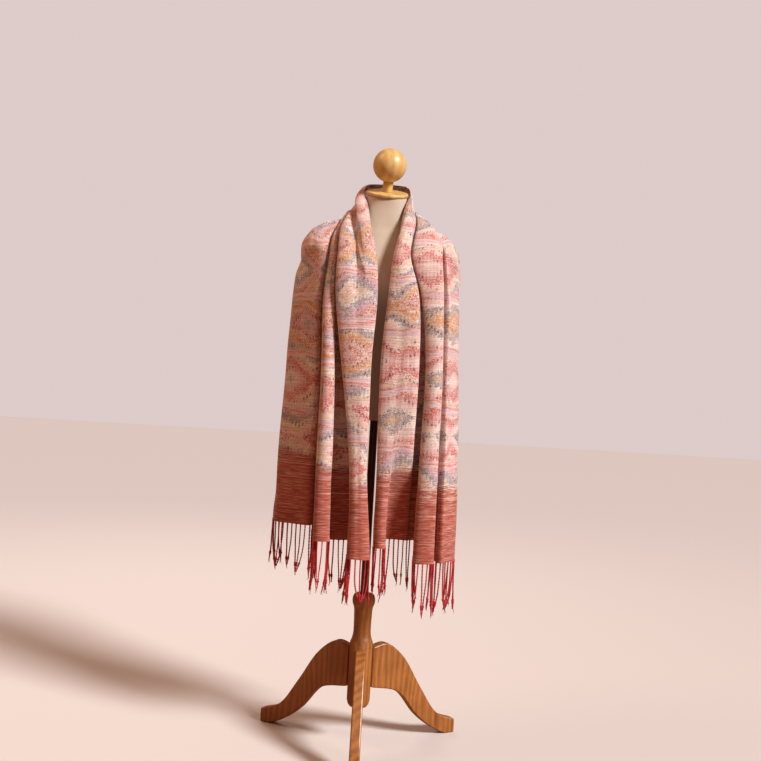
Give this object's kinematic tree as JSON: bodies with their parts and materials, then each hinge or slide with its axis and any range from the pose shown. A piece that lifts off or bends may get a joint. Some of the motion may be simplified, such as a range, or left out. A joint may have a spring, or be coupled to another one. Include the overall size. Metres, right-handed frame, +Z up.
{
  "type": "fringed shawl draped on a dress form with stand",
  "caption": "Long woven shawl with corded fringe at both ends, draped round the neck and shoulders of a limbless dress form that stands on a pole and a wooden tripod base.",
  "frame": {"origin": "on the floor, under the middle of the whole part's bounding box", "axes": "+Z up along the pole, -Y out of the front of the dress form, +X to the right as seen from the front"},
  "size_m": [0.5326, 0.4612, 1.547],
  "materials": {
    "woven_cloth": "soft woven, matt",
    "red_cord": "twisted yarn, matt",
    "form_cover": "smooth jersey, matt",
    "pale_wood": "clear varnish, satin",
    "stand_wood": "stained, satin",
    "dark_metal": "dark satin"
  },
  "bodies": {
    "root": {"finial_ball": "pale_wood", "finial_post": "pale_wood", "neck_cap": "pale_wood", "form_torso": "form_cover", "fringe_left": "red_cord", "fringe_right": "red_cord", "hub": "stand_wood", "leg_1": "stand_wood", "leg_2": "stand_wood", "leg_3": "stand_wood", "pole": "dark_metal", "shawl_back": "woven_cloth", "shawl_left_front": "woven_cloth", "shawl_right_front": "woven_cloth"}
  },
  "joints": []
}
